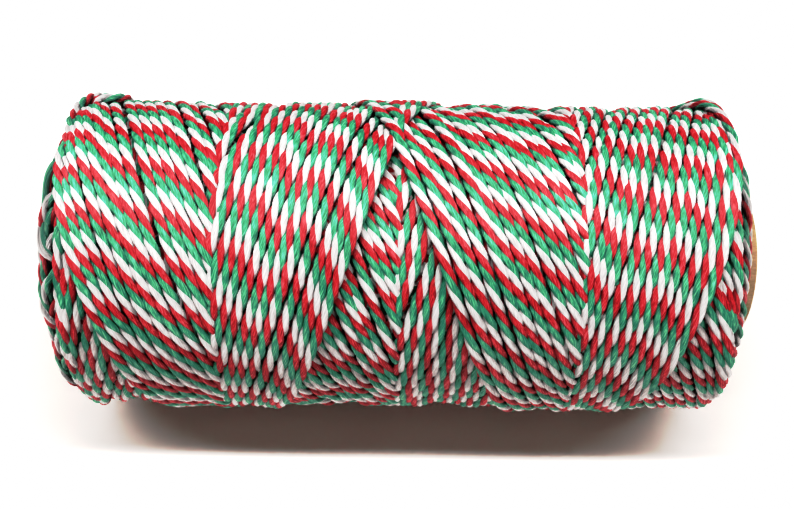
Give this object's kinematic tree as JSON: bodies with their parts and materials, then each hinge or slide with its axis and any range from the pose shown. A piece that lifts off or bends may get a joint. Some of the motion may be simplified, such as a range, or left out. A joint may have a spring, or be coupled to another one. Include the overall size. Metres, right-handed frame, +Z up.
{
  "type": "roll of bakers twine",
  "caption": "Cylindrical roll of red, white and green striped cotton twine, cross-wound in bands on a hollow cardboard tube and lying on its side.",
  "frame": {"origin": "middle of the resting flat under the roll, where it lies on the surface", "axes": "+X along the roll's axis, +Z up, -Y towards a person looking at the roll's side"},
  "size_m": [0.1086, 0.05, 0.0495],
  "materials": {
    "cardboard": "matte kraft paper tube",
    "twine": "matte cotton, three plies: red, white and green"
  },
  "bodies": {
    "root": {"core": "cardboard", "winding": "twine"}
  },
  "joints": []
}
